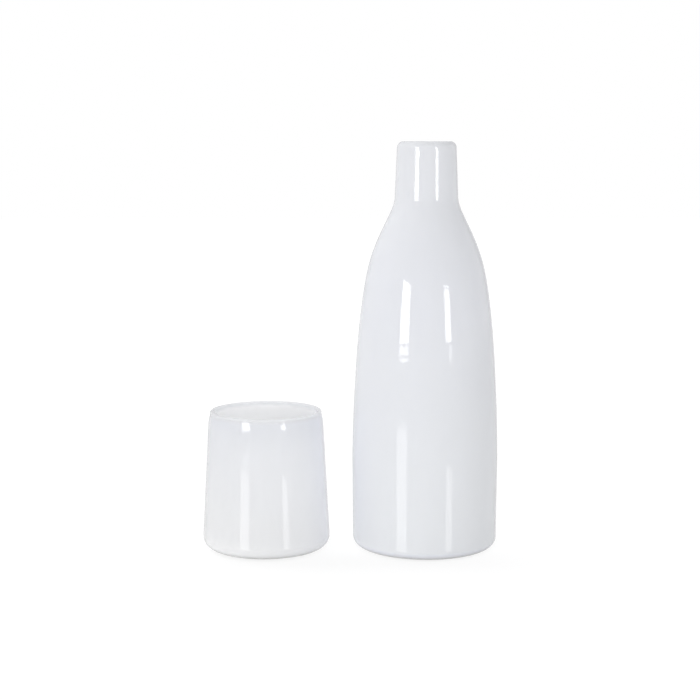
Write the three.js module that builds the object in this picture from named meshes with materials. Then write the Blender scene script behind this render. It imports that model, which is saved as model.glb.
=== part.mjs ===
// Bedside carafe of white opal glass, with the drinking tumbler that stands beside it.
// Turned over, the tumbler goes over the neck and rests on the shoulder as the carafe's cover.
// Millimetres, +Z up. The origin is the middle of the carafe's foot, and both pieces stand on Z = 0.
import * as THREE from 'three';

// Carafe, outside
const CARAFE_HEIGHT = 250;
const CARAFE_FOOT_RADIUS = 44.7;
const CARAFE_HEEL_ROUNDING = 5.5;
const CARAFE_WIDEST_RADIUS = 45.1;
const CARAFE_WIDEST_HEIGHT = 56;
const SHOULDER_RADIUS = 34.3;
const SHOULDER_LEAN = 0.3;
const FLARE_HEIGHT = 38.4;
const NECK_FOOT_RADIUS = 19.3;
const NECK_LENGTH = 33.6;
const MOUTH_RADIUS = 18.1;

// Carafe, thickness of the glass
const CARAFE_WALL = 3;
const CARAFE_FLOOR = 6;
const NECK_WALL = 5.4;
const LIP_OUTER_ROUNDING = 3.9;

// Tumbler, outside
const TUMBLER_HEIGHT = 85.5;
const TUMBLER_FOOT_RADIUS = 39.3;
const TUMBLER_HEEL_ROUNDING = 7.5;
const COLLAR_RADIUS = 35.6;
const COLLAR_DEPTH = 11.5;
const COLLAR_LEAN = 0.28;
const RIM_RADIUS = 34.5;

// Tumbler, thickness of the glass
const TUMBLER_WALL = 2.4;
const TUMBLER_FLOOR = 5;
const RIM_BEAD_ROUNDING = 1.3;
const RIM_BEAD_STEP = 0.2;

// The tumbler stands to the left of the carafe and a little nearer the viewer
const STANDING_GAP = 14.2;
const STANDING_FORWARD = 5.5;

// Share of a curved stretch's rise over which it keeps to the lean at its lower and upper end
const FOOT_HOLD = [0.16, 0.16];
const BODY_HOLD = [0.08, 0.25];
const FLARE_HOLD = [0.52, 0.23];
const COLLAR_HOLD = [0.45, 0.3];

// Straight steps that stand for each round or curved stretch
const ROUND_STEPS = 48;
const HEEL_STEPS = 6;
const SHORT_STEPS = 4;
const LONG_STEPS = 9;

// A place on a wall: its radius, its height and its lean, the radius lost per millimetre of height.
function station(radius, height, lean = 0) {
  return { radius, height, lean };
}

// The same place on the inner skin, moved in by the glass's thickness at right angles to the wall.
function inside(place, thickness) {
  const slant = Math.hypot(1, place.lean);
  const radius = place.radius - thickness / slant;
  const height = place.height - (thickness * place.lean) / slant;
  return station(radius, height, place.lean);
}

function pointAt(place) {
  return new THREE.Vector2(place.radius, place.height);
}

// The point that lies a rise above a place, or below it where the rise is negative, along the place's lean.
function pointAlong(place, rise) {
  return new THREE.Vector2(place.radius - place.lean * rise, place.height + rise);
}

function straight(lower, upper) {
  return [new THREE.LineCurve(pointAt(lower), pointAt(upper)), 1];
}

function curved(lower, upper, hold, steps) {
  const rise = upper.height - lower.height;
  const lowerHandle = pointAlong(lower, hold[0] * rise);
  const upperHandle = pointAlong(upper, -hold[1] * rise);
  return [new THREE.CubicBezierCurve(pointAt(lower), lowerHandle, upperHandle, pointAt(upper)), steps];
}

// Part of a circle, with angles in radians measured from straight out and turning upwards.
function rounded(radius, height, size, from, to, steps) {
  return [new THREE.EllipseCurve(radius, height, size, size, from, to, to < from), steps];
}

// A flat floor from the axis out to its heel, and the heel round to where it meets the wall's lean.
function floorAndHeel(wallRadius, height, heel, lean) {
  const flat = station(wallRadius - heel, height);
  const turn = Math.atan(lean);
  const top = station(flat.radius + heel * Math.cos(turn), height + heel + heel * Math.sin(turn), lean);
  const run = [
    straight(station(0, height), flat),
    rounded(flat.radius, height + heel, heel, -Math.PI / 2, turn, HEEL_STEPS),
  ];
  return { run, top };
}

// Points along a run of curves, each of which starts where the last one ends.
function pointsOf(run) {
  const points = [];
  for (const [curve, steps] of run) {
    const more = curve.getPoints(steps);
    points.push(...(points.length > 0 ? more.slice(1) : more));
  }
  return points;
}

// A vessel turned from its outer skin, from the foot up to the lip's crest, and its inner skin,
// from the floor up to the same crest.
function vessel(outerRun, innerRun) {
  const profile = [...pointsOf(outerRun), ...pointsOf(innerRun).reverse()];
  return new THREE.LatheGeometry(profile, ROUND_STEPS).rotateX(Math.PI / 2);
}

// Opal glass: white with a cool cast, smooth and glossy.
function opalGlass(color) {
  return new THREE.MeshStandardMaterial({ color, roughness: 0.12, metalness: 0 });
}

// Carafe: a bottle with a flat foot, a long swelling body and a slightly conical neck,
// blown in one piece.
function carafeSkin(heelTop, widest, shoulder, neckFoot, mouth) {
  return [
    curved(heelTop, widest, FOOT_HOLD, SHORT_STEPS),
    curved(widest, shoulder, BODY_HOLD, LONG_STEPS),
    curved(shoulder, neckFoot, FLARE_HOLD, LONG_STEPS),
    straight(neckFoot, mouth),
  ];
}

function makeCarafe() {
  const mouthHeight = CARAFE_HEIGHT - LIP_OUTER_ROUNDING;
  const neckFootHeight = CARAFE_HEIGHT - NECK_LENGTH;
  const neckLean = (NECK_FOOT_RADIUS - MOUTH_RADIUS) / (mouthHeight - neckFootHeight);
  const widest = station(CARAFE_WIDEST_RADIUS, CARAFE_WIDEST_HEIGHT);
  const shoulder = station(SHOULDER_RADIUS, neckFootHeight - FLARE_HEIGHT, SHOULDER_LEAN);
  const neckFoot = station(NECK_FOOT_RADIUS, neckFootHeight, neckLean);
  const mouth = station(MOUTH_RADIUS, mouthHeight, neckLean);
  const crest = MOUTH_RADIUS - LIP_OUTER_ROUNDING;
  const foot = floorAndHeel(CARAFE_FOOT_RADIUS, 0, CARAFE_HEEL_ROUNDING, 0);
  const outerRun = [
    ...foot.run,
    ...carafeSkin(foot.top, widest, shoulder, neckFoot, mouth),
    rounded(crest, mouthHeight, LIP_OUTER_ROUNDING, 0, Math.PI / 2, SHORT_STEPS),
  ];

  const lipInnerRounding = NECK_WALL - LIP_OUTER_ROUNDING;
  const bore = station(MOUTH_RADIUS - NECK_WALL, CARAFE_HEIGHT - lipInnerRounding);
  const innerFoot = CARAFE_FOOT_RADIUS - CARAFE_WALL;
  const floor = floorAndHeel(innerFoot, CARAFE_FLOOR, CARAFE_HEEL_ROUNDING, 0);
  const innerRun = [
    ...floor.run,
    ...carafeSkin(
      floor.top,
      inside(widest, CARAFE_WALL),
      inside(shoulder, CARAFE_WALL),
      inside(neckFoot, NECK_WALL),
      bore,
    ),
    rounded(crest, bore.height, lipInnerRounding, Math.PI, Math.PI / 2, SHORT_STEPS),
  ];

  const carafe = new THREE.Mesh(vessel(outerRun, innerRun), opalGlass(0xe4e6ea));
  carafe.name = 'carafe';
  return carafe;
}

// Tumbler: widest just above its heel, drawn in towards a rim that was melted round to a fine bead.
function makeTumbler() {
  const collarHeight = TUMBLER_HEIGHT - COLLAR_DEPTH;
  const wallLean = (TUMBLER_FOOT_RADIUS - COLLAR_RADIUS) / (collarHeight - TUMBLER_HEEL_ROUNDING);
  const collar = station(COLLAR_RADIUS, collarHeight, wallLean);
  const beadHeight = TUMBLER_HEIGHT - RIM_BEAD_ROUNDING;
  const crest = RIM_RADIUS - RIM_BEAD_ROUNDING;
  const beadStart = -Math.acos(1 - RIM_BEAD_STEP / RIM_BEAD_ROUNDING);
  const wallTop = beadHeight + RIM_BEAD_ROUNDING * Math.sin(beadStart);
  const top = station(RIM_RADIUS - RIM_BEAD_STEP, wallTop, COLLAR_LEAN);
  const foot = floorAndHeel(TUMBLER_FOOT_RADIUS, 0, TUMBLER_HEEL_ROUNDING, wallLean);
  const outerRun = [
    ...foot.run,
    straight(foot.top, collar),
    curved(collar, top, COLLAR_HOLD, SHORT_STEPS),
    rounded(crest, beadHeight, RIM_BEAD_ROUNDING, beadStart, Math.PI / 2, SHORT_STEPS),
  ];

  const innerCollar = inside(collar, TUMBLER_WALL);
  const innerTop = station(crest - RIM_BEAD_ROUNDING, beadHeight, wallLean);
  const innerFoot = TUMBLER_FOOT_RADIUS - TUMBLER_WALL;
  const floor = floorAndHeel(innerFoot, TUMBLER_FLOOR, TUMBLER_HEEL_ROUNDING, wallLean);
  const innerRun = [
    ...floor.run,
    straight(floor.top, innerCollar),
    curved(innerCollar, innerTop, COLLAR_HOLD, SHORT_STEPS),
    rounded(crest, beadHeight, RIM_BEAD_ROUNDING, Math.PI, Math.PI / 2, SHORT_STEPS),
  ];

  const tumbler = new THREE.Mesh(vessel(outerRun, innerRun), opalGlass(0xe9eaed));
  tumbler.name = 'tumbler';
  const spacing = CARAFE_WIDEST_RADIUS + STANDING_GAP + TUMBLER_FOOT_RADIUS;
  tumbler.position.set(-spacing, -STANDING_FORWARD, 0);
  return tumbler;
}

const carafeSet = new THREE.Group();
carafeSet.add(makeCarafe(), makeTumbler());

export default carafeSet;
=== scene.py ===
import math

import bmesh
import bpy
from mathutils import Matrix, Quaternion, Vector
from mathutils.geometry import interpolate_bezier


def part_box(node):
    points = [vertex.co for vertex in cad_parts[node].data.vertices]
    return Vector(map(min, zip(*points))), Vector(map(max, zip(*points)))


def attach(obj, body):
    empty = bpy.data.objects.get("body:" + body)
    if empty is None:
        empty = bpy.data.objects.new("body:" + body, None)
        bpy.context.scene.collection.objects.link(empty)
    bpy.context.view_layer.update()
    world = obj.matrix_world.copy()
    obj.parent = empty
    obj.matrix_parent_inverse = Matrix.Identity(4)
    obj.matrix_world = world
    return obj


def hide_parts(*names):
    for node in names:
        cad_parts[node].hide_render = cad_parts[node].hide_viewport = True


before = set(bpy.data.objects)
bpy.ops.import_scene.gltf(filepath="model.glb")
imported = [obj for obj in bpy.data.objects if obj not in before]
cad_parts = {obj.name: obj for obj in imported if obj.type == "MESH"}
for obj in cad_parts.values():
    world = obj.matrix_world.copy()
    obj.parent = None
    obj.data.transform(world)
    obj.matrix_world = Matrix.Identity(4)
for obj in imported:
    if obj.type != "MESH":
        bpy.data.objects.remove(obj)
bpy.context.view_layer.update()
scene = bpy.context.scene
scene.view_settings.view_transform = "Standard"
scene.cycles.diffuse_bounces = 16
scene.cycles.max_bounces = 24


# Carafe: a bottle with a flat foot, a long swelling body and a slim, slightly conical neck.
# It is white opal glass, blown into a turned mould in one piece, with its foot ground flat
# and its lip melted round in the flame.
carafe_low, carafe_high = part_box("carafe")
CARAFE_AXIS = ((carafe_low.x + carafe_high.x) / 2, (carafe_low.y + carafe_high.y) / 2)
CARAFE_HEIGHT = carafe_high.z
CARAFE_WIDEST = (carafe_high.x - carafe_low.x) / 2
CARAFE_WIDEST_HEIGHT = 0.056
CARAFE_FOOT_INSET = 0.0004
CARAFE_FOOT = CARAFE_WIDEST - CARAFE_FOOT_INSET
CARAFE_HEEL = 0.0055
SHOULDER_RADIUS = 0.0343
SHOULDER_LEAN = 0.3
FLARE_HEIGHT = 0.0384
NECK_FOOT_RADIUS = 0.0193
NECK_LENGTH = 0.0336
MOUTH_RADIUS = 0.0181
CARAFE_WALL = 0.003
CARAFE_FLOOR = 0.006
NECK_WALL = 0.0054
LIP_OUTER_ROUNDING = 0.0038
LIP_INNER_ROUNDING = 0.0014
CARAFE_DISH_FLAT = 0.027
CARAFE_DISH_EDGE = 0.0305
DISH_DEPTH = 0.0007

# Share of a stretch's rise over which it keeps to the lean at its lower and at its upper end.
FOOT_HOLD = (0.16, 0.16)
BODY_HOLD = (0.08, 0.25)
FLARE_HOLD = (0.52, 0.23)
STRAIGHT_HOLD = (1 / 3, 1 / 3)

# A rounding that meets a wall is a trace smaller than its corner, so that it stops short of the
# wall's own first point.
JUST_SHORT = 0.999
ROUND_STEPS = 160
WALL_STEPS = 28
CORNER_STEPS = 8
MERGE_DISTANCE = 1e-6

# Whites of the glass. The differences between them are painted light and shade, not the glass's own colour:
# the foot is lighter, and the neck and lip are darker.
CARAFE_WHITES = {
    "foot": (0.888, 0.902, 0.972),
    "neck": (0.853, 0.861, 0.886),
    "lip": (0.823, 0.829, 0.85),
    "inside": (0.853, 0.861, 0.886),
}
CARAFE_SCATTER = 0.0012
GLASS_IOR = 1.5
GLASS_ROUGHNESS = 0.02

# The ground foot is rougher up to the first heights, and its heel is darkened with painted contact shade
# up to the second. The lip's darker white, painted shade, begins between these depths below the top.
HEEL_PAINTED_SHADE = (0.67, 0.67, 0.65)
GROUND_ROUGHNESS = 0.45
GROUND_ROUGH_EDGE = (0.0001, 0.0004)
HEEL_PAINTED_SHADE_EDGE = (0.0004, 0.004)
LIP_EDGE = (0.0035, 0.0015)

# The foot's white gives way to the neck's from bottom to top: the steady change is painted light and shade,
# and the uneven clouding laid over it is the opal's own.
WHITE_CHANGE = (-0.15, 0.85)
CLOUD_SHARE = 0.3
CLOUD_SCALE = 22
CLOUD_DETAIL = 3
WAVE_SCALE = 30
WAVE_DETAIL = 1
WAVE_DEPTH = 0.000004


def place(radius, height, lean=0.0):
    """A place on a wall, with its lean, the radius lost for each unit of height."""
    return radius, height, lean


def inside(spot, thickness):
    """The same place on the inner skin, moved in at right angles to the wall."""
    radius, height, lean = spot
    slant = math.hypot(1, lean)
    return place(radius - thickness / slant, height - thickness * lean / slant, lean)


def curved(lower, upper, hold):
    """Points up a smooth stretch of wall that keeps to each end's lean for a share of the rise."""
    lower_hold, upper_hold = hold
    rise = upper[1] - lower[1]
    climbs = ((lower, 0), (lower, lower_hold * rise), (upper, -upper_hold * rise), (upper, 0))
    handles = [
        Vector((radius - lean * climb, 0, height + climb))
        for (radius, height, lean), climb in climbs
    ]
    return [(point.x, point.z) for point in interpolate_bezier(*handles, WALL_STEPS)]


def carafe_wall(foot, widest, shoulder, neck_foot):
    """Points up one skin of the carafe, from the top of its heel to the foot of its neck."""
    lower = curved(foot, widest, FOOT_HOLD)
    body = curved(widest, shoulder, BODY_HOLD)
    flare = curved(shoulder, neck_foot, FLARE_HOLD)
    return lower + body[1:] + flare[1:]


def mesh_object(name, shape):
    """An object in the scene, made from a finished bmesh."""
    mesh = bpy.data.meshes.new(name)
    shape.to_mesh(mesh)
    shape.free()
    made = bpy.data.objects.new(name, mesh)
    scene.collection.objects.link(made)
    return made


def turned_vessel(name, axis, outline, roundings):
    """A closed shell turned from an outline of (radius, height) points, some of its corners rounded."""
    shell = bmesh.new()
    corners = [shell.verts.new((radius, 0, height)) for radius, height in outline]
    for start, end in zip(corners, corners[1:]):
        shell.edges.new((start, end))
    for spot, size in roundings.items():
        corner = corners[outline.index(spot)]
        bmesh.ops.bevel(
            shell, geom=[corner], offset=size, offset_type="OFFSET", affect="VERTICES",
            segments=CORNER_STEPS, profile=0.5, material=-1,
        )
    bmesh.ops.spin(
        shell, geom=shell.verts[:] + shell.edges[:], cent=(0, 0, 0), axis=(0, 0, 1),
        angle=math.tau, steps=ROUND_STEPS, use_merge=True,
    )
    bmesh.ops.remove_doubles(shell, verts=shell.verts[:], dist=MERGE_DISTANCE)
    bmesh.ops.recalc_face_normals(shell, faces=shell.faces[:])
    bmesh.ops.translate(shell, verts=shell.verts[:], vec=(axis[0], axis[1], 0))
    for face in shell.faces:
        face.smooth = True
    return mesh_object(name, shell)


def slope(tree, value, start, end):
    """A level that changes with a value. Start and end each hold a value and the level there."""
    change = tree.nodes.new("ShaderNodeMapRange")
    change.inputs["From Min"].default_value, change.inputs["To Min"].default_value = start
    change.inputs["From Max"].default_value, change.inputs["To Max"].default_value = end
    tree.links.new(value, change.inputs["Value"])
    return change.outputs["Result"]


def blend(tree, factor, first, second):
    """A colour that goes from the first to the second by a factor."""
    mix = tree.nodes.new("ShaderNodeMix")
    mix.data_type = "RGBA"
    tree.links.new(factor, mix.inputs["Factor"])
    for socket, colour in ((mix.inputs["A"], first), (mix.inputs["B"], second)):
        if isinstance(colour, tuple):
            socket.default_value = (*colour, 1)
        else:
            tree.links.new(colour, socket)
    return mix.outputs["Result"]


def calculate(tree, operation, first, second):
    """A number worked out from a socket and a second socket or plain number."""
    sum_node = tree.nodes.new("ShaderNodeMath")
    sum_node.operation = operation
    tree.links.new(first, sum_node.inputs[0])
    if isinstance(second, float):
        sum_node.inputs[1].default_value = second
    else:
        tree.links.new(second, sum_node.inputs[1])
    return sum_node.outputs["Value"]


def noise(tree, vector, scale, detail):
    """Smooth noise in space."""
    cloud = tree.nodes.new("ShaderNodeTexNoise")
    cloud.inputs["Scale"].default_value = scale
    cloud.inputs["Detail"].default_value = detail
    tree.links.new(vector, cloud.inputs["Vector"])
    return cloud.outputs["Fac"]


def opal_glass(name, axis, top, whites, scatter):
    """White opal glass, glossy and faintly wavy, with painted light and shade in its whites at the foot,
    neck, lip and inside.
    """
    material = bpy.data.materials.new(name)
    material.use_nodes = True
    tree = material.node_tree
    nodes, links = tree.nodes, tree.links
    glass = nodes["Principled BSDF"]
    glass.inputs["IOR"].default_value = GLASS_IOR
    glass.inputs["Subsurface Weight"].default_value = 1.0
    glass.inputs["Subsurface Radius"].default_value = (1, 1, 1)
    glass.inputs["Subsurface Scale"].default_value = scatter

    where = nodes.new("ShaderNodeTexCoord")
    centred = nodes.new("ShaderNodeMapping")
    centred.inputs["Location"].default_value = (-axis[0], -axis[1], 0)
    links.new(where.outputs["Object"], centred.inputs["Vector"])
    spot = centred.outputs["Vector"]
    parted = nodes.new("ShaderNodeSeparateXYZ")
    links.new(spot, parted.inputs["Vector"])
    height = parted.outputs["Z"]

    # Painted light and shade: lighter toward the foot and darker toward the top, with the opal's own random
    # clouding.
    foot_change, top_change = WHITE_CHANGE
    change = nodes.new("ShaderNodeMath")
    change.operation = "MULTIPLY_ADD"
    links.new(noise(tree, spot, CLOUD_SCALE, CLOUD_DETAIL), change.inputs[0])
    change.inputs[1].default_value = CLOUD_SHARE
    links.new(slope(tree, height, (0, foot_change), (top, top_change)), change.inputs[2])
    height_shaded_white = blend(tree, change.outputs["Value"], whites["foot"], whites["neck"])

    # Painted light: the inner skin takes the inside white, which on the tumbler is lighter so its inside
    # looks brighter.
    skin = nodes.new("ShaderNodeNewGeometry")
    outward = nodes.new("ShaderNodeVectorMath")
    outward.operation = "DOT_PRODUCT"
    links.new(spot, outward.inputs[0])
    links.new(skin.outputs["Normal"], outward.inputs[1])
    inward = calculate(tree, "LESS_THAN", outward.outputs["Value"], 0.0)
    inside_lightened_white = blend(tree, inward, height_shaded_white, whites["inside"])

    # Painted shade: the lip takes a darker white that dims its bright edge.
    lip_foot, lip_top = (top - depth for depth in LIP_EDGE)
    lip = slope(tree, height, (lip_foot, 0), (lip_top, 1))
    lip_dimmed_white = blend(tree, lip, inside_lightened_white, whites["lip"])
    # Painted shade: the heel greys towards the floor, where contact shade would fall.
    shade_low, shade_high = HEEL_PAINTED_SHADE_EDGE
    off_ground = slope(tree, height, (shade_low, 0), (shade_high, 1))
    links.new(blend(tree, off_ground, HEEL_PAINTED_SHADE, lip_dimmed_white), glass.inputs["Base Color"])
    rough_low, rough_high = GROUND_ROUGH_EDGE
    polish = slope(tree, height, (rough_low, GROUND_ROUGHNESS), (rough_high, GLASS_ROUGHNESS))
    links.new(polish, glass.inputs["Roughness"])

    swell = nodes.new("ShaderNodeBump")
    swell.inputs["Strength"].default_value = 1.0
    swell.inputs["Distance"].default_value = WAVE_DEPTH
    links.new(noise(tree, spot, WAVE_SCALE, WAVE_DETAIL), swell.inputs["Height"])
    links.new(swell.outputs["Normal"], glass.inputs["Normal"])
    return material


neck_foot_height = CARAFE_HEIGHT - NECK_LENGTH
mouth_height = CARAFE_HEIGHT - LIP_OUTER_ROUNDING
neck_lean = (NECK_FOOT_RADIUS - MOUTH_RADIUS) / (mouth_height - neck_foot_height)
foot = place(CARAFE_FOOT, CARAFE_HEEL)
widest = place(CARAFE_WIDEST, CARAFE_WIDEST_HEIGHT)
shoulder = place(SHOULDER_RADIUS, neck_foot_height - FLARE_HEIGHT, SHOULDER_LEAN)
neck_foot = place(NECK_FOOT_RADIUS, neck_foot_height, neck_lean)
mouth = place(MOUTH_RADIUS, mouth_height, neck_lean)
outer_wall = carafe_wall(foot, widest, shoulder, neck_foot)
outer_neck = curved(neck_foot, mouth, STRAIGHT_HOLD)
inner_wall = carafe_wall(
    place(CARAFE_FOOT - CARAFE_WALL, CARAFE_FLOOR + CARAFE_HEEL),
    inside(widest, CARAFE_WALL),
    inside(shoulder, CARAFE_WALL),
    inside(neck_foot, NECK_WALL),
)
heel_corner = (CARAFE_FOOT, 0)
lip_outer = (MOUTH_RADIUS, CARAFE_HEIGHT)
lip_inner = (MOUTH_RADIUS - NECK_WALL, CARAFE_HEIGHT)
floor_corner = (CARAFE_FOOT - CARAFE_WALL, CARAFE_FLOOR)
carafe = turned_vessel(
    "carafe_glass",
    CARAFE_AXIS,
    [
        (0, DISH_DEPTH), (CARAFE_DISH_FLAT, DISH_DEPTH), (CARAFE_DISH_EDGE, 0), heel_corner,
        *outer_wall, *outer_neck[1:], lip_outer,
        lip_inner, *reversed(inner_wall), floor_corner, (0, CARAFE_FLOOR),
    ],
    {
        heel_corner: CARAFE_HEEL * JUST_SHORT,
        lip_outer: LIP_OUTER_ROUNDING * JUST_SHORT,
        lip_inner: LIP_INNER_ROUNDING,
        floor_corner: CARAFE_HEEL * JUST_SHORT,
    },
)
carafe.data.materials.append(
    opal_glass("carafe_opal_glass", CARAFE_AXIS, CARAFE_HEIGHT, CARAFE_WHITES, CARAFE_SCATTER)
)
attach(carafe, "carafe")
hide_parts("carafe")


# Tumbler: the carafe's drinking glass, widest just above its heel and drawn in towards the rim.
# It is the same opal glass, blown thinner, with its rim melted round to a fine bead. It stands
# loose beside the carafe, and turned over it covers the neck.
tumbler_low, tumbler_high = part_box("tumbler")
TUMBLER_AXIS = ((tumbler_low.x + tumbler_high.x) / 2, (tumbler_low.y + tumbler_high.y) / 2)
TUMBLER_HEIGHT = tumbler_high.z
TUMBLER_FOOT = (tumbler_high.x - tumbler_low.x) / 2
TUMBLER_HEEL = 0.0075
COLLAR_RADIUS = 0.0356
COLLAR_DEPTH = 0.0115
COLLAR_LEAN = 0.28
COLLAR_HOLD = (0.45, 0.3)
RIM_RADIUS = 0.0345
TUMBLER_WALL = 0.0024
TUMBLER_FLOOR = 0.005
BEAD_ROUNDING = 0.0013
BEAD_STEP = 0.0002
BEAD_SHORT = 0.98
TUMBLER_DISH_FLAT = 0.021
TUMBLER_DISH_EDGE = 0.0245
# The tumbler's whites are painted light and shade too: lighter at the foot and lighter still inside, darker
# at the top of the wall and at the rim.
TUMBLER_WHITES = {
    "foot": (0.978, 0.985, 0.999),
    "neck": (0.72, 0.735, 0.785),
    "lip": (0.71, 0.715, 0.74),
    "inside": (0.994, 0.995, 0.998),
}
TUMBLER_SCATTER = 0.0105

collar_height = TUMBLER_HEIGHT - COLLAR_DEPTH
wall_lean = (TUMBLER_FOOT - COLLAR_RADIUS) / (collar_height - TUMBLER_HEEL)
wall_foot = place(TUMBLER_FOOT, TUMBLER_HEEL, wall_lean)
collar = place(COLLAR_RADIUS, collar_height, wall_lean)
bead_foot = TUMBLER_HEIGHT - BEAD_ROUNDING - BEAD_ROUNDING / 2
bore = RIM_RADIUS - 2 * BEAD_ROUNDING
wall_top = place(RIM_RADIUS - BEAD_STEP, bead_foot, COLLAR_LEAN)
inner_top = place(bore, bead_foot, wall_lean)
outer_wall = curved(wall_foot, collar, STRAIGHT_HOLD)
outer_collar = curved(collar, wall_top, COLLAR_HOLD)
inner_collar = curved(inside(collar, TUMBLER_WALL), inner_top, COLLAR_HOLD)
heel_corner = (TUMBLER_FOOT + wall_lean * TUMBLER_HEEL, 0)
bead_outer = (RIM_RADIUS, TUMBLER_HEIGHT)
bead_inner = (bore, TUMBLER_HEIGHT)
floor_corner = (heel_corner[0] - TUMBLER_WALL - wall_lean * TUMBLER_FLOOR, TUMBLER_FLOOR)
tumbler = turned_vessel(
    "tumbler_glass",
    TUMBLER_AXIS,
    [
        (0, DISH_DEPTH), (TUMBLER_DISH_FLAT, DISH_DEPTH), (TUMBLER_DISH_EDGE, 0), heel_corner,
        *outer_wall, *outer_collar[1:], bead_outer,
        bead_inner, *reversed(inner_collar), floor_corner, (0, TUMBLER_FLOOR),
    ],
    {
        heel_corner: TUMBLER_HEEL * JUST_SHORT,
        bead_outer: BEAD_ROUNDING * BEAD_SHORT,
        bead_inner: BEAD_ROUNDING * BEAD_SHORT,
        floor_corner: TUMBLER_HEEL,
    },
)
tumbler.data.materials.append(
    opal_glass("tumbler_opal_glass", TUMBLER_AXIS, TUMBLER_HEIGHT, TUMBLER_WHITES, TUMBLER_SCATTER)
)
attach(tumbler, "tumbler")
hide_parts("tumbler")


# Studio floor: a wide white table top. The camera sees it plain white with a soft shade in front
# of the glass, mostly painted shade in its glow over a faint real shadow. Reflections see it evenly
# pale, with a polished board that mirrors the windows.
FLOOR_SIZE = 8.0
FLOOR_DROP = 0.0001
FLOOR_MATT_GREY = (0.12, 0.12, 0.12, 1)
FLOOR_BOUNCE_WHITE = (0.97, 0.97, 0.97, 1)
SHADE_REACH = 0.08
SHADE_FRONT = (-0.05, 0.2)
SHADE_BACK = (-0.015, 0.04)
LIFT_NEAR = (0.3, 0.945)
LIFT_FAR = (0.8, 0.97)
MIRRORED_PALE = 0.75
SHINE_MIDDLE = (-0.1575, -0.09)
SHINE_HALF = (0.3425, 0.59)
SHINE_EDGE = 0.012
SHINE_SHARE = 0.3


def bare_material(name):
    """A material whose output is still free, and its node tree."""
    material = bpy.data.materials.new(name)
    material.use_nodes = True
    tree = material.node_tree
    tree.nodes.remove(tree.nodes["Principled BSDF"])
    return material, tree


def either(tree, factor, first, second):
    """A shader that goes from the first to the second by a factor."""
    mix = tree.nodes.new("ShaderNodeMixShader")
    tree.links.new(factor, mix.inputs["Fac"])
    tree.links.new(first, mix.inputs[1])
    tree.links.new(second, mix.inputs[2])
    return mix.outputs["Shader"]


floor_mesh = bmesh.new()
bmesh.ops.create_grid(floor_mesh, x_segments=1, y_segments=1, size=FLOOR_SIZE / 2)
bmesh.ops.translate(floor_mesh, verts=floor_mesh.verts[:], vec=(0, 0, -FLOOR_DROP))
floor = mesh_object("studio_floor", floor_mesh)

paper, tree = bare_material("studio_white")
nodes, links = tree.nodes, tree.links
where = nodes.new("ShaderNodeTexCoord")
spot = where.outputs["Object"]
depth = nodes.new("ShaderNodeSeparateXYZ")
links.new(spot, depth.inputs["Vector"])
# Painted shade: the floor's glow is dimmed by ambient occlusion near the glass, most in front of it, and is
# a little lower near the glass.
shade = slope(tree, depth.outputs["Y"], SHADE_FRONT, SHADE_BACK)
open_sky = nodes.new("ShaderNodeAmbientOcclusion")
open_sky.inputs["Distance"].default_value = SHADE_REACH
away = nodes.new("ShaderNodeVectorMath")
away.operation = "LENGTH"
links.new(spot, away.inputs[0])
lift = nodes.new("ShaderNodeEmission")
links.new(blend(tree, shade, (1, 1, 1), open_sky.outputs["Color"]), lift.inputs["Color"])
links.new(slope(tree, away.outputs["Value"], LIFT_NEAR, LIFT_FAR), lift.inputs["Strength"])
matt = nodes.new("ShaderNodeBsdfDiffuse")
matt.inputs["Color"].default_value = FLOOR_MATT_GREY
seen = nodes.new("ShaderNodeAddShader")
links.new(matt.outputs["BSDF"], seen.inputs[0])
links.new(lift.outputs["Emission"], seen.inputs[1])

board = nodes.new("ShaderNodeMapping")
board.inputs["Location"].default_value = (
    -SHINE_MIDDLE[0] / SHINE_HALF[0], -SHINE_MIDDLE[1] / SHINE_HALF[1], 0,
)
board.inputs["Scale"].default_value = (1 / SHINE_HALF[0], 1 / SHINE_HALF[1], 0)
links.new(spot, board.inputs["Vector"])
reach = nodes.new("ShaderNodeVectorMath")
reach.operation = "ABSOLUTE"
links.new(board.outputs["Vector"], reach.inputs[0])
sides = nodes.new("ShaderNodeSeparateXYZ")
links.new(reach.outputs["Vector"], sides.inputs["Vector"])
furthest = calculate(tree, "MAXIMUM", sides.outputs["X"], sides.outputs["Y"])
shine = slope(tree, furthest, (1 - SHINE_EDGE, SHINE_SHARE), (1 + SHINE_EDGE, 0.0))
pale = nodes.new("ShaderNodeEmission")
pale.inputs["Strength"].default_value = MIRRORED_PALE
mirror = nodes.new("ShaderNodeBsdfGlossy")
mirror.inputs["Color"].default_value = (1, 1, 1, 1)
mirror.inputs["Roughness"].default_value = 0.0
mirrored = either(tree, shine, pale.outputs["Emission"], mirror.outputs["BSDF"])

bounce = nodes.new("ShaderNodeBsdfDiffuse")
bounce.inputs["Color"].default_value = FLOOR_BOUNCE_WHITE
ray = nodes.new("ShaderNodeLightPath")
unseen = either(tree, ray.outputs["Is Glossy Ray"], bounce.outputs["BSDF"], mirrored)
upper_side = either(tree, ray.outputs["Is Camera Ray"], unseen, seen.outputs["Shader"])
side = nodes.new("ShaderNodeNewGeometry")
clear = nodes.new("ShaderNodeBsdfTransparent")
one_sided = either(tree, side.outputs["Backfacing"], upper_side, clear.outputs["BSDF"])
links.new(one_sided, nodes["Material Output"].inputs["Surface"])
floor.data.materials.append(paper)


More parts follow.
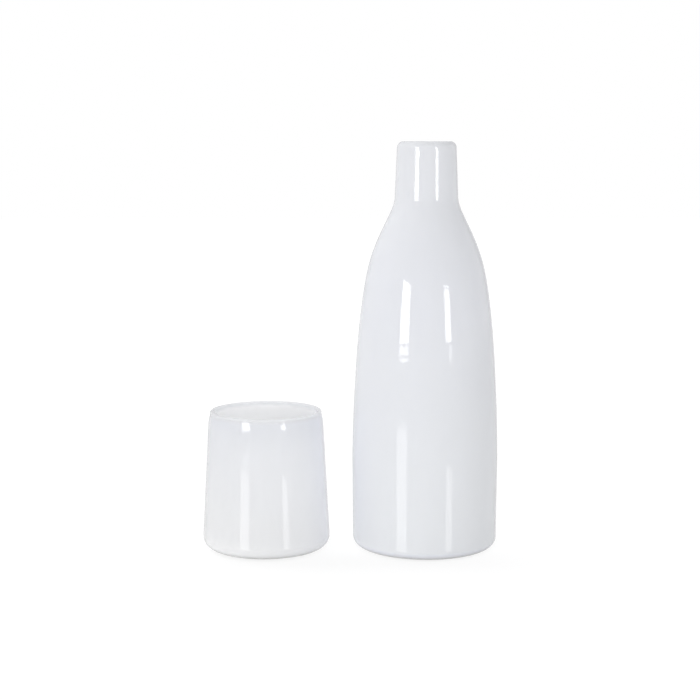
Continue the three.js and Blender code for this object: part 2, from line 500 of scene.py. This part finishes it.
# Studio surroundings: white to the camera and in reflections, and a plain soft daylight, a trace
# cool, on everything.
WORLD_LEVEL = 0.607
WORLD_COLOUR = (0.978, 0.985, 1, 1)
world = bpy.data.worlds.new("studio_surroundings")
scene.world = world
world.use_nodes = True
tree = world.node_tree
nodes, links = tree.nodes, tree.links
soft_light = nodes["Background"]
soft_light.inputs["Color"].default_value = WORLD_COLOUR
soft_light.inputs["Strength"].default_value = WORLD_LEVEL
white_paper = nodes.new("ShaderNodeBackground")
white_paper.inputs["Color"].default_value = (1, 1, 1, 1)
white_paper.inputs["Strength"].default_value = 1.0
ray = nodes.new("ShaderNodeLightPath")
mirrored = calculate(tree, "MAXIMUM", ray.outputs["Is Glossy Ray"], ray.outputs["Is Transmission Ray"])
shown = calculate(tree, "MAXIMUM", ray.outputs["Is Camera Ray"], mirrored)
around = either(tree, shown, soft_light.outputs["Background"], white_paper.outputs["Background"])
links.new(around, nodes["World Output"].inputs["Surface"])


# Studio tent: a wide round screen, lightest on the right, greyer behind and on the left. Only
# reflections show it, where it draws the outline of the white glass.
TENT_RADIUS = 3.2
TENT_HEIGHT = 3.0
TENT_STEPS = 48

# Greys by share of a turn, from the left past the camera, the right and the back.
TENT_GREYS = (
    (0.0, 0.68), (0.25, 0.85), (0.5, 1.0), (0.61, 1.0),
    (0.64, 0.68), (0.74, 0.68), (0.77, 0.6), (1.0, 0.68),
)
tent_mesh = bmesh.new()
bmesh.ops.create_cone(
    tent_mesh, cap_ends=False, segments=TENT_STEPS,
    radius1=TENT_RADIUS, radius2=TENT_RADIUS, depth=TENT_HEIGHT,
)
bmesh.ops.translate(tent_mesh, verts=tent_mesh.verts[:], vec=(0, 0, TENT_HEIGHT / 2))
tent = mesh_object("studio_tent", tent_mesh)
tent.visible_camera = False
tent.visible_diffuse = False
tent.visible_transmission = False
tent.visible_shadow = False

screen, tree = bare_material("studio_screen")
nodes, links = tree.nodes, tree.links
where = nodes.new("ShaderNodeTexCoord")
bearing = nodes.new("ShaderNodeTexGradient")
bearing.gradient_type = "RADIAL"
links.new(where.outputs["Object"], bearing.inputs["Vector"])
grey = nodes.new("ShaderNodeValToRGB")
stops = grey.color_ramp.elements
for turn, _ in TENT_GREYS[1:-1]:
    stops.new(turn)
for stop, (turn, level) in zip(stops, TENT_GREYS):
    stop.position = turn
    stop.color = (level, level, level, 1)
links.new(bearing.outputs["Fac"], grey.inputs["Fac"])
glow = nodes.new("ShaderNodeEmission")
links.new(grey.outputs["Color"], glow.inputs["Color"])
links.new(glow.outputs["Emission"], nodes["Material Output"].inputs["Surface"])
tent.data.materials.append(screen)


# Studio lamps: two tall windows at either side of the camera, which draw the upright highlights
# on the glass, and softer lamps behind on the left and low in front.
WINDOW_DISTANCE = 2.5
WINDOW_TURN = -17

# Panes of the windows: name, bearing, width, low and high edge, radiance and roll. Those that
# start lower than the lighting sill only show in reflections.
LIGHTING_SILL = 0.21
WINDOW_PANES = (
    ("left_window", -38.3, 0.735, 0.238, 0.864, 7.5, 0),
    ("left_window_foot", -38.3, 0.735, 0.217, 0.262, 7.5, 2.3),
    ("left_window_low", -38.3, 0.735, 0.143, 0.204, 4.8, 1.9),
    ("left_window_sill", -38.3, 0.735, 0.107, 0.129, 4.8, 1.4),
    ("right_window", 36.2, 0.48, 0.225, 0.735, 7.0, 0),
    ("right_window_top", 36.2, 0.48, 0.765, 0.8, 7.0, 0),
    ("right_window_low", 39.0, 0.23, 0.11, 0.21, 3.0, 0),
)


def soft_box(name, bearing, distance, low, high, width, radiance, aim_height, turn=0, roll=0):
    """An upright soft box. Bearing is in degrees from the camera's side, positive to the right."""
    lamp = bpy.data.lights.new(name, "AREA")
    lamp.shape = "RECTANGLE"
    lamp.size = width
    lamp.size_y = high - low
    lamp.energy = radiance * math.pi * lamp.size * lamp.size_y
    holder = bpy.data.objects.new(name, lamp)
    angle = math.radians(bearing)
    holder.location = (math.sin(angle) * distance, -math.cos(angle) * distance, (low + high) / 2)
    aim = Vector((0, 0, aim_height)) - holder.location
    facing = aim.to_track_quat("-Z", "Y") @ Quaternion((0, 0, 1), math.radians(roll))
    holder.rotation_euler = facing.to_euler()
    holder.rotation_euler.z += math.radians(turn)
    holder.visible_camera = False
    scene.collection.objects.link(holder)
    return holder


for name, bearing, width, low, high, radiance, roll in WINDOW_PANES:
    pane = soft_box(
        name, bearing, WINDOW_DISTANCE, low, high, width, radiance,
        aim_height=(low + high) / 2, turn=WINDOW_TURN, roll=roll,
    )
    pane.visible_diffuse = low > LIGHTING_SILL
back_light = soft_box(
    "back_light", bearing=-135, distance=1.3, low=0.9, high=2.3, width=1.6, radiance=1.95,
    aim_height=0.1,
)
back_light.visible_glossy = False
low_fill = soft_box(
    "low_fill", bearing=-40, distance=1.8, low=0.02, high=0.45, width=1.2, radiance=0.6,
    aim_height=0.1,
)
low_fill.visible_glossy = False


# Camera: at the height of the carafe's mouth, tipped a little down, as the photograph was taken.
CAMERA_FOCUS_PIXELS = 1520
PICTURE_PIXELS = 700
SENSOR_WIDTH = 36
CAMERA_PLACE = (-0.0466, -0.9305, 0.25)
CAMERA_TIP = math.radians(7.82)
camera_data = bpy.data.cameras.new("camera")
camera_data.sensor_width = SENSOR_WIDTH
camera_data.lens = SENSOR_WIDTH * CAMERA_FOCUS_PIXELS / PICTURE_PIXELS
camera = bpy.data.objects.new("camera", camera_data)
camera.location = CAMERA_PLACE
camera.rotation_euler = (math.pi / 2 - CAMERA_TIP, 0, 0)
scene.collection.objects.link(camera)
scene.camera = camera
